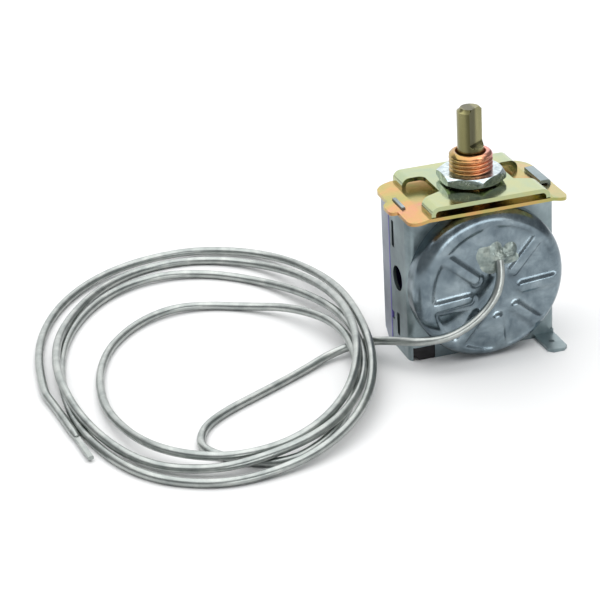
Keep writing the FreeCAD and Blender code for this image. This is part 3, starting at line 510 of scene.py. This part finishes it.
def spindle_material():
    material, tree, shader = new_material("spindle_chromate", 1.0, 0.26)
    x = split(tree, object_place(tree))[0]
    film = cloud(tree, object_place(tree, (1, 1, 0.2)), 260)
    # A strip down the bar is darkened here as a painted reflection.
    painted_reflection_band = x.eased(*PAINTED_REFLECTION_FADES_IN) - x.eased(*PAINTED_REFLECTION_FADES_OUT)
    tone = film * 0.5 + 0.34 - painted_reflection_band * PAINTED_REFLECTION_DARKNESS
    stops = [(0.10, (0.07, 0.066, 0.03)), (0.35, (0.13, 0.122, 0.058)), (0.60, (0.23, 0.215, 0.10)),
             (0.85, (0.36, 0.335, 0.17))]
    tree.links.new(tones(tree, tone, stops), shader.inputs["Base Color"])
    tree.links.new((film * 0.16 + 0.18).socket, shader.inputs["Roughness"])
    bumped(tree, shader, cloud(tree, object_place(tree, (1, 1, 0.1)), 1500), 0.003)
    return material


def bushing_material():
    material, tree, shader = new_material("bushing_chromate", 1.0, 0.24)
    x = split(tree, object_place(tree))[0]
    film = cloud(tree, object_place(tree), 300)
    # The colour runs from left to right across the bushing. It is partly the film's olive-to-pink tint and partly
    # painted shade, which keeps the left side darker.
    tint_and_painted_shade_across = x * (1 / BUSHING_WIDTH) + 0.5 + (film - 0.5) * 0.35
    stops = [(0.02, (0.34, 0.25, 0.09)), (0.25, (0.46, 0.25, 0.10)), (0.50, (0.66, 0.29, 0.14)),
             (0.80, (0.62, 0.28, 0.20)), (0.98, (0.66, 0.25, 0.25))]
    tree.links.new(tones(tree, tint_and_painted_shade_across, stops), shader.inputs["Base Color"])
    tree.links.new((film * 0.14 + 0.17).socket, shader.inputs["Roughness"])
    bumped(tree, shader, cloud(tree, object_place(tree, (1, 1, 4)), 1500), 0.008)
    return material


spindle_finish = spindle_material()
bushing_finish = bushing_material()
print("chromate finishes:", [m.name for m in (plate_finish, bridge_finish, spindle_finish, bushing_finish)])

# %% [markdown]
# The remaining finishes are plain ones: the drawn tube, the solder, bright and spring steel, brass and silver of the
# switch, the moulded base, the ceramic pin and the insulating film. Each still has its own grain, because a part is
# seen close up as often as from afar.

# %% Tube, solder and inner finishes
tube_finish = plated(
    "tube_drawn", [(0.34, (0.27, 0.295, 0.285)), (0.50, (0.36, 0.385, 0.37)), (0.68, (0.46, 0.48, 0.46))],
    roughness=0.33, spread=0.08, stain_scale=220, grain_scale=1500, bump=0.003)
solder_finish = plated(
    "solder", [(0.34, (0.17, 0.21, 0.20)), (0.50, (0.27, 0.32, 0.30)), (0.68, (0.44, 0.49, 0.44))],
    roughness=0.38, spread=0.22, stain_scale=420, grain_scale=1500, bump=0.03, metallic=0.75)
steel_finish = plated(
    "bright_steel", [(0.30, (0.48, 0.49, 0.50)), (0.55, (0.60, 0.61, 0.62)), (0.75, (0.70, 0.71, 0.72))],
    roughness=0.30, spread=0.10, stain_scale=180, grain_scale=1600, bump=0.006, grain=(1, 1, 0.2))
spring_finish = plated(
    "spring_steel", [(0.30, (0.28, 0.29, 0.31)), (0.55, (0.40, 0.41, 0.43)), (0.75, (0.50, 0.51, 0.53))],
    roughness=0.34, spread=0.08, stain_scale=300, grain_scale=1600, bump=0.006)
brass_finish = plated(
    "brass", [(0.30, (0.50, 0.36, 0.13)), (0.55, (0.66, 0.50, 0.21)), (0.75, (0.76, 0.60, 0.30))],
    roughness=0.30, spread=0.10, stain_scale=200, grain_scale=1600, bump=0.006, grain=(1, 0.2, 1))
silver_finish = plated(
    "contact_silver", [(0.30, (0.60, 0.60, 0.58)), (0.70, (0.78, 0.78, 0.76))],
    roughness=0.28, spread=0.08, stain_scale=500, grain_scale=1800, bump=0.006)
film_finish = plated(
    "liner_film", [(0.30, (0.10, 0.08, 0.34)), (0.70, (0.20, 0.17, 0.52))],
    roughness=0.40, spread=0.08, stain_scale=300, grain_scale=1500, bump=0.01, metallic=0.0)
phenolic_finish = plated(
    "base_phenolic", [(0.30, (0.010, 0.010, 0.011)), (0.70, (0.030, 0.029, 0.030))],
    roughness=0.42, spread=0.10, stain_scale=400, grain_scale=2200, bump=0.02, metallic=0.0)
phenolic_finish.node_tree.nodes["Principled BSDF"].inputs["Specular IOR Level"].default_value = 0.15
ceramic_finish = plated(
    "button_ceramic", [(0.30, (0.72, 0.70, 0.64)), (0.70, (0.84, 0.82, 0.77))],
    roughness=0.30, spread=0.08, stain_scale=300, grain_scale=2000, bump=0.008, metallic=0.0)

node_finishes = {
    frame_finish: ["front_frame", "lever_bracket", "diaphragm_backing"],
    cover_finish: ["rear_cover"],
    plate_finish: ["top_plate"],
    bridge_finish: ["bridge_bracket"],
    nut_finish: ["lock_nut"],
    spindle_finish: ["spindle_cam"],
    tube_finish: ["capillary_tail"],
    steel_finish: ["thrust_washer", "main_lever", "main_lever_pin", "range_lever", "range_lever_pin", "range_screw",
                   "spring_plug", "spring_anchor", "cover_rivets"],
    spring_finish: ["range_spring", "diaphragm"],
    brass_finish: ["common_terminal", "fixed_terminal", "terminal_rivets", "contact_arm"],
    silver_finish: ["fixed_contact", "moving_contact"],
    film_finish: ["insulating_liner"],
    phenolic_finish: ["terminal_base", "insulating_button"],
    ceramic_finish: ["push_button"],
}
for finish, names in node_finishes.items():
    for name in names:
        for material_slot in NODES[name].material_slots:
            material_slot.material = finish
tube.data.materials.append(tube_finish)
print("finished nodes:", sum(len(names) for names in node_finishes.values()))

# %% [markdown]
# The plain dish comes from the lathe: a flat face, a round shoulder that rolls back to the side wall, and a simpler
# inside one sheet further in, so the rim has a real thickness. The rings on the face lie close together, because the
# ribs' flanks are narrow and need points to bend on.

# %% Press the disc
DISC_CENTRE_Z = 18.65
DISC_RADIUS = 18.3
DISC_FACE = -11.6
DISC_BACK = -5.6
SHEET = 0.6
CREST_RADIUS = 13.9
ROLL = DISC_RADIUS - CREST_RADIUS
ROLL_DEPTH = 2.9
FIELD_RIGHT = 1.2
FIELD_DOWN = 1.4
RIBS_DOWN = 2.6
DISC_STEPS = 400
FACE_RINGS = 60
ROLL_RINGS = 20
WALL_RINGS = 4
INSIDE_RINGS = 20


def facing(u, v, along):
    return Vector((u, along, v + DISC_CENTRE_Z))


def disc_profile():
    rows = [(CREST_RADIUS * k / FACE_RINGS, DISC_FACE) for k in range(FACE_RINGS + 1)]
    for k in range(1, ROLL_RINGS + 1):
        turn = math.pi / 2 * k / ROLL_RINGS
        rows.append((CREST_RADIUS + ROLL * math.sin(turn), DISC_FACE + ROLL_DEPTH * (1 - math.cos(turn))))
    wall_start = DISC_FACE + ROLL_DEPTH
    rows += [(DISC_RADIUS, wall_start + (DISC_BACK - wall_start) * k / WALL_RINGS) for k in range(1, WALL_RINGS + 1)]
    rows += [(DISC_RADIUS - SHEET, DISC_BACK), (DISC_RADIUS - SHEET, wall_start + SHEET)]
    rows += [(CREST_RADIUS * k / INSIDE_RINGS, DISC_FACE + SHEET) for k in range(INSIDE_RINGS, -1, -1)]
    return rows


dish = turned_mesh("disc_sheet", disc_profile(), facing, DISC_STEPS, closed=False)
disc_mesh = run_tree("pressed_disc", dish, field_tree(), {
    "Disc Z": DISC_CENTRE_Z * MM, "Crest Radius": CREST_RADIUS * MM, "Roll": ROLL * MM, "Roll Depth": ROLL_DEPTH * MM,
    "Field X": FIELD_RIGHT * MM, "Field Z": (DISC_CENTRE_Z - FIELD_DOWN) * MM, "Field Radius": 14.4 * MM,
    "Slope": 2.1 * MM, "Drop": 0.95 * MM,
    "Rib X": FIELD_RIGHT * MM, "Rib Z": (DISC_CENTRE_Z - RIBS_DOWN) * MM, "Rib Count": 8,
    "Rib First": math.radians(4.0), "Rib Start": 6.6 * MM, "Rib Half Width": 1.5 * MM, "Rib Flank": 0.9 * MM,
    "Rib Low": 0.23 * MM}, disc_finish)
shade_by_angle(disc_mesh, 40)
new_piece("pressed_disc", disc_mesh, "base", "disc_zinc", "diaphragm_cover")
print("disc faces:", len(disc_mesh.polygons))

# %% [markdown]
# The bushing's thread is a ridge that climbs one pitch in each turn. A helix swept along a curve would leave a seam
# against the core. Here a turned core is pushed in and out by a rule: the distance up the axis, less the turn round
# it, says how deep the groove is at that point. The groove fades at both ends, as a rolled thread runs out.

# %% Rule for the thread
THREAD_INPUTS = ["Pitch", "Depth", "Outer", "Lower End", "Upper End"]
ROOT_END = 0.15
CREST_START = 0.85
RUN_OUT = 0.7
CORE_SIDE = 0.93
OUTER_SIDE = 0.94


def thread_tree():
    tree, entry, v, (x, y, z) = new_tree("cut_thread", THREAD_INPUTS)
    radius = (x * x + y * y).math("SQRT")
    turn = y.math("ARCTAN2", x) / (2 * math.pi)
    climb = z / v["Pitch"] - turn
    phase = climb - climb.math("FLOOR")
    flank = (phase - 0.5).math("ABSOLUTE") * 2.0
    groove = flank.eased(ROOT_END, CREST_START)
    run = v["Pitch"] * RUN_OUT
    low = z.eased(v["Lower End"], v["Lower End"] + run)
    high = z.eased(v["Upper End"], v["Upper End"] - run)
    outside = radius.eased(v["Outer"] * CORE_SIDE, v["Outer"] * OUTER_SIDE)
    shift = groove * low * high * outside * v["Depth"] * -1.0
    finish_tree(tree, entry, moved(tree, entry, (shift * x / radius, shift * y / radius, None)))
    return tree


print("thread tree inputs:", len(THREAD_INPUTS))

# %% [markdown]
# The core itself is a tail in the plate's hole, a flange on the bridge, a neck for the thread, a chamfered top and a
# bore with a wider mouth. The neck has eleven rings to each pitch, which is what the rule needs to draw a flank.

# %% Turn and thread the bushing
THREAD_RADIUS = 5.0
BUSHING_FOOT = 36.4
FLANGE_FOOT = 38.0
FLANGE_TOP = 39.2
FLANGE_RADIUS = 6.3
TAIL_RADIUS = 4.5
BORE_RADIUS = 3.1
MOUTH_RADIUS = 3.5
MOUTH_DEPTH = 0.5
BUSHING_TOP = 47.4
TOP_CHAMFER = 0.7
TOP_LIP = 0.15
EDGE_BREAK = 0.1
MOUTH_SLOPE = 0.4
PITCH = 1.0
THREAD_DEPTH = 0.5
THREAD_STEP = 0.09
THREAD_STOP = 0.5
BUSHING_STEPS = 96


def bushing_profile():
    neck = BUSHING_TOP - TOP_CHAMFER
    steps = round((neck - FLANGE_TOP) / THREAD_STEP)
    rows = [(BORE_RADIUS, BUSHING_FOOT), (TAIL_RADIUS, BUSHING_FOOT), (TAIL_RADIUS, FLANGE_FOOT),
            (FLANGE_RADIUS, FLANGE_FOOT), (FLANGE_RADIUS, FLANGE_TOP)]
    rows += [(THREAD_RADIUS, FLANGE_TOP + (neck - FLANGE_TOP) * k / steps) for k in range(steps + 1)]
    rows += [(THREAD_RADIUS - TOP_CHAMFER * 0.5, BUSHING_TOP - TOP_CHAMFER * 0.4),
             (THREAD_RADIUS - TOP_CHAMFER, BUSHING_TOP - EDGE_BREAK),
             (THREAD_RADIUS - TOP_CHAMFER - TOP_LIP, BUSHING_TOP), (MOUTH_RADIUS + EDGE_BREAK, BUSHING_TOP),
             (MOUTH_RADIUS, BUSHING_TOP - EDGE_BREAK), (MOUTH_RADIUS, BUSHING_TOP - MOUTH_DEPTH),
             (BORE_RADIUS, BUSHING_TOP - MOUTH_DEPTH - MOUTH_SLOPE)]
    return rows


turned = turned_mesh("turned_bushing", bushing_profile(), standing, BUSHING_STEPS, closed=True)
bushing_mesh = run_tree("threaded_bushing", turned, thread_tree(), {
    "Pitch": PITCH * MM, "Depth": THREAD_DEPTH * MM, "Outer": THREAD_RADIUS * MM, "Lower End": FLANGE_TOP * MM,
    "Upper End": (BUSHING_TOP - THREAD_STOP) * MM}, bushing_finish)
shade_by_angle(bushing_mesh, 50)
new_piece("threaded_bushing", bushing_mesh, "base", "bushing_chromate", "bushing")
print("bushing faces:", len(bushing_mesh.polygons))

# %% [markdown]
# The tube's root is buried in solder. Solder that has run over cold sheet makes a low irregular puddle with a lump or
# two where it was fed in. A turned cap would look machined, so the puddle is a fine disc of mesh laid on the pressed
# field and raised by a few overlapping soft mounds, with noise for its skin and its outline. A mound is a place on
# the disc, a reach and a height, and a wave of the skin is how close it is, where it starts and how strong it is.

# %% Solder puddle
SOLDER_CENTRE = Vector((2.2, 25.2))
SOLDER_REACH = 6.2
SOLDER_SINK = 0.1
SOLDER_ROOT = 0.35
SOLDER_MOUNDS = [
    (0.4, 24.2, 3.8, 0.45), (-1.2, 26.0, 2.8, 0.35), (2.5, 25.2, 2.1, 1.50), (4.9, 26.4, 1.9, 1.15),
    (4.2, 24.8, 2.2, 0.60), (1.2, 27.4, 2.2, 0.30), (5.6, 24.4, 1.8, 0.25),
]
MOUND_ROUNDNESS = 1.4
SKIN_WAVES = [(0.7, 3.1, 0.35), (2, 7.7, 0.12)]
SOLDER_STEPS = 144
SOLDER_RINGS = 48
ROOT_RINGS = 12
disc_surface = BVHTree.FromPolygons([v.co for v in disc_mesh.vertices], [p.vertices for p in disc_mesh.polygons])


def sheet_face(x, z):
    hit = disc_surface.ray_cast(Vector((x, 2 * DISC_FACE, z)) * MM, Vector((0, 1, 0)))[0]
    return hit.y / MM


def solder_height(x, z):
    height = 0
    for mound_x, mound_z, reach, rise in SOLDER_MOUNDS:
        near = max(0, 1 - ((x - mound_x) ** 2 + (z - mound_z) ** 2) / reach ** 2)
        height += rise * near ** MOUND_ROUNDNESS
    skin = sum(noise.noise(Vector((x * pace, z * pace, start))) * strength for pace, start, strength in SKIN_WAVES)
    return height * (1 + skin)


def solder_place(u, v, layer):
    x = SOLDER_CENTRE.x + u
    z = SOLDER_CENTRE.y + v
    raised = -SOLDER_ROOT if layer else max(solder_height(x, z) - SOLDER_SINK, -SOLDER_SINK)
    return Vector((x, sheet_face(x, z) - raised, z))


def solder_profile():
    face = [(SOLDER_REACH * k / SOLDER_RINGS, 0) for k in range(SOLDER_RINGS + 1)]
    return face + [(SOLDER_REACH * k / ROOT_RINGS, 1) for k in range(ROOT_RINGS, -1, -1)]


solder_mesh = turned_mesh("solder_puddle", solder_profile(), solder_place, SOLDER_STEPS, closed=False)
solder_mesh.materials.append(solder_finish)
solder_mesh.shade_smooth()
new_piece("solder_puddle", solder_mesh, "base", "braze", "capillary_braze")
print("solder faces:", len(solder_mesh.polygons))

# %% [markdown]
# The spindle is a turned bar with a D flat milled on its upper end. A cutter of some radius makes the flat, so it
# runs out in a small curve and not in a square step. The bar is turned on the lathe first. Then every point that
# stands outside the flat is pushed back to it, and near its foot the flat itself eases out to the bar's full radius.

# %% Spindle with its flat
SPINDLE_RADIUS = 3.0
SPINDLE_CHAMFER = 0.8
SPINDLE_TOP = 57.8
FLAT_BEARING = math.radians(-55)
FLAT_DISTANCE = 1.5
FLAT_FOOT = 48.6
FLAT_RUN_OUT = 1.1
STEM_RADIUS = 2.2
STEM_CHAMFER = 0.3
TOP_EDGE = 0.2
CHAMFER_ROUNDNESS = 1.5
SPINDLE_STEPS = 96
SHANK_RINGS = 90
CHAMFER_RINGS = 6
spindle_foot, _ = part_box("spindle")


def spindle_profile():
    low = spindle_foot.z / MM
    shank = SPINDLE_TOP - SPINDLE_CHAMFER - BUSHING_FOOT
    rows = [(0, low), (STEM_RADIUS - STEM_CHAMFER, low), (STEM_RADIUS, low + STEM_CHAMFER),
            (STEM_RADIUS, BUSHING_FOOT)]
    rows += [(SPINDLE_RADIUS, BUSHING_FOOT + shank * k / SHANK_RINGS) for k in range(SHANK_RINGS + 1)]
    for k in range(1, CHAMFER_RINGS + 1):
        share = k / CHAMFER_RINGS
        rows.append((SPINDLE_RADIUS - SPINDLE_CHAMFER * share,
                     SPINDLE_TOP - SPINDLE_CHAMFER * (1 - share ** CHAMFER_ROUNDNESS)))
    return rows + [(SPINDLE_RADIUS - SPINDLE_CHAMFER - TOP_EDGE, SPINDLE_TOP), (0, SPINDLE_TOP)]


def milled(u, v, along):
    point = Vector((u, v, along))
    out = Vector((math.cos(FLAT_BEARING), math.sin(FLAT_BEARING), 0))
    rise = min(1, max(0, (along - FLAT_FOOT) / FLAT_RUN_OUT))
    reach = SPINDLE_RADIUS - (SPINDLE_RADIUS - FLAT_DISTANCE) * math.sqrt(1 - (1 - rise) ** 2)
    beyond = point.dot(out) - reach
    return point - out * beyond if beyond > 0 else point


spindle_mesh = turned_mesh("milled_spindle", spindle_profile(), milled, SPINDLE_STEPS, closed=False)
spindle_mesh.materials.append(spindle_finish)
shade_by_angle(spindle_mesh, 35)
new_piece("milled_spindle", spindle_mesh, "spindle", "spindle_chromate", "spindle")
print("spindle faces:", len(spindle_mesh.polygons))

# %% [markdown]
# Between the two halves of the case lies an insulating film, and its violet edge shows as a thin line down each side.
# The film isn't cut exactly, so the line isn't even: it widens towards the foot and wavers a little. A strip of mesh
# follows the seam with a width from a rule and a touch of noise.

# %% Film edge
SEAM_Y = 6.15
CASE_HALF = 18.05
FILM_PROUD = 0.07
FILM_TUCK = 0.4
FILM_FOOT = 0.8
FILM_HEIGHT = 35.6
FILM_ROWS = 60
FILM_THIN = 0.16
FILM_WIDENS = 0.22
FILM_RAGGED = 0.05
FILM_WAVERS = 0.08
FILM_ROUNDED = 0.8


def film_edge(name, side):
    mesh = bmesh.new()
    rows = []
    for k in range(FILM_ROWS + 1):
        z = FILM_FOOT + FILM_HEIGHT * k / FILM_ROWS
        ragged = noise.noise(Vector((side * 5, 0, z * 0.5)))
        wavers = noise.noise(Vector((side * 9, 4, z * 0.2)))
        width = FILM_THIN + FILM_WIDENS * (1 - k / FILM_ROWS) + FILM_RAGGED * ragged
        middle = SEAM_Y + FILM_WAVERS * wavers
        inner = CASE_HALF - FILM_TUCK
        outer = CASE_HALF + FILM_PROUD
        corners = [(inner, middle - width), (outer, middle - width * FILM_ROUNDED),
                   (outer, middle + width * FILM_ROUNDED), (inner, middle + width)]
        rows.append([mesh.verts.new(Vector((side * x, y, z)) * MM) for x, y in corners])
    for low, high in zip(rows, rows[1:]):
        for a, b in ((0, 1), (1, 2), (2, 3), (3, 0)):
            mesh.faces.new((low[a], low[b], high[b], high[a]))
    mesh.faces.new(rows[0])
    mesh.faces.new(rows[-1])
    bmesh.ops.recalc_face_normals(mesh, faces=mesh.faces)
    data = bpy.data.meshes.new(name)
    mesh.to_mesh(data)
    mesh.free()
    data.materials.append(film_finish)
    return new_piece(name, data, "base", "liner_film")


film_edges = [film_edge("film_edge_left", -1), film_edge("film_edge_right", 1)]
print("film edges:", [edge.name for edge in film_edges])

# %% [markdown]
# The range spring stands between two levers that both tilt, so a rigid spring would cut into the seat at one of its
# ends. It is cut at its middle coil into a lower and an upper half, and the cut face of each half is closed.

# %% Spring between two levers
spring_node = NODES["range_spring"]
spring_corners = [spring_node.matrix_world @ Vector(corner) for corner in spring_node.bound_box]
spring_middle = sum(spring_corners, Vector()) / len(spring_corners)
spring_foot = Vector((spring_middle.x, spring_middle.y, min(corner.z for corner in spring_corners)))
spring_head = Vector((spring_middle.x, spring_middle.y, max(corner.z for corner in spring_corners)))


def half_spring(name, below):
    half = bmesh.new()
    half.from_mesh(spring_node.data)
    half.transform(spring_node.matrix_world)
    everything = half.verts[:] + half.edges[:] + half.faces[:]
    middle = (spring_foot + spring_head) / 2
    bmesh.ops.bisect_plane(half, geom=everything, plane_co=middle, plane_no=(0, 0, 1), clear_outer=below,
                           clear_inner=not below)
    bmesh.ops.holes_fill(half, edges=[edge for edge in half.edges if edge.is_boundary])
    bmesh.ops.recalc_face_normals(half, faces=half.faces[:])
    data = bpy.data.meshes.new(name)
    half.to_mesh(data)
    half.free()
    data.materials.append(spring_finish)
    shade_by_angle(data, 50)
    piece = bpy.data.objects.new(name, data)
    bpy.context.scene.collection.objects.link(piece)
    if below:
        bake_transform(piece)
    else:
        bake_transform(piece)
    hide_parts("range_spring")
    return piece


spring_halves = [half_spring("range_spring_lower", True), half_spring("range_spring_upper", False)]
print("spring faces:", [len(piece.data.polygons) for piece in spring_halves])

# %% [markdown]
# The floor is a plain pale sheet, large enough that its edge never shows. It is matt, so it gives the metal a white
# field to reflect and takes no reflection itself.

# %% Floor
FLOOR_HALF = 3.0
FLOOR_PALE = 0.82
floor_mesh = bpy.data.meshes.new("floor")
floor_mesh.from_pydata([(-FLOOR_HALF, -FLOOR_HALF, 0), (FLOOR_HALF, -FLOOR_HALF, 0), (FLOOR_HALF, FLOOR_HALF, 0),
                        (-FLOOR_HALF, FLOOR_HALF, 0)], [], [(0, 1, 2, 3)])
floor = bpy.data.objects.new("floor", floor_mesh)
bpy.context.scene.collection.objects.link(floor)
floor_finish, _, floor_shader = new_material("floor_pale", 0.0, 0.9)
floor_shader.inputs["Base Color"].default_value = (FLOOR_PALE, FLOOR_PALE, FLOOR_PALE, 1)
floor_mesh.materials.append(floor_finish)
print("floor side in metres:", 2 * FLOOR_HALF)

# %% [markdown]
# Polished metal shows what stands round it more than its own colour. The world is dim and neutral, so the metal has
# something dark to reflect. A very broad box overhead gives the soft shadow, and because it is broad it doesn't burn
# out the level surfaces that mirror it. A wide white panel behind brightens them for the photograph's camera, a low
# strip in front draws the long highlight on the disc's shoulder, and a small box high on the right gives the ribs and
# the thread their sparkle.

# %% Light
WORLD_TINT = (0.95, 0.98, 1, 1)
WORLD_STRENGTH = 0.30
world = bpy.data.worlds.new("world")
bpy.context.scene.world = world
world.use_nodes = True
world.node_tree.nodes["Background"].inputs["Color"].default_value = WORLD_TINT
world.node_tree.nodes["Background"].inputs["Strength"].default_value = WORLD_STRENGTH
bpy.context.scene.view_settings.view_transform = "Standard"


def softbox(name, place, aim, width, height, power):
    data = bpy.data.lights.new(name, "AREA")
    data.shape = "RECTANGLE"
    data.size = width
    data.size_y = height
    data.energy = power
    lamp = bpy.data.objects.new(name, data)
    bpy.context.scene.collection.objects.link(lamp)
    lamp.location = place
    lamp.rotation_euler = (Vector(place) - Vector(aim)).to_track_quat("Z", "Y").to_euler()


softbox("overhead", place=(-0.1, 0.1, 1.0), aim=(-0.03, 0, 0), width=2.0, height=1.6, power=19)
softbox("back_panel", place=(0.1, 1.3, 0.5), aim=(0, 0, 0.1), width=2.0, height=0.9, power=6.5)
softbox("front_strip", place=(0.12, -1.1, 0.2), aim=(0, 0, 0.03), width=0.8, height=0.22, power=2.6)
softbox("high_right", place=(0.4, -0.4, 0.7), aim=(0, 0, 0.02), width=0.3, height=0.3, power=0.9)
print("lights:", len(bpy.data.lights))

# %% [markdown]
# Last, the pieces' places are brought up to date.

# %% Finish
bpy.context.view_layer.update()
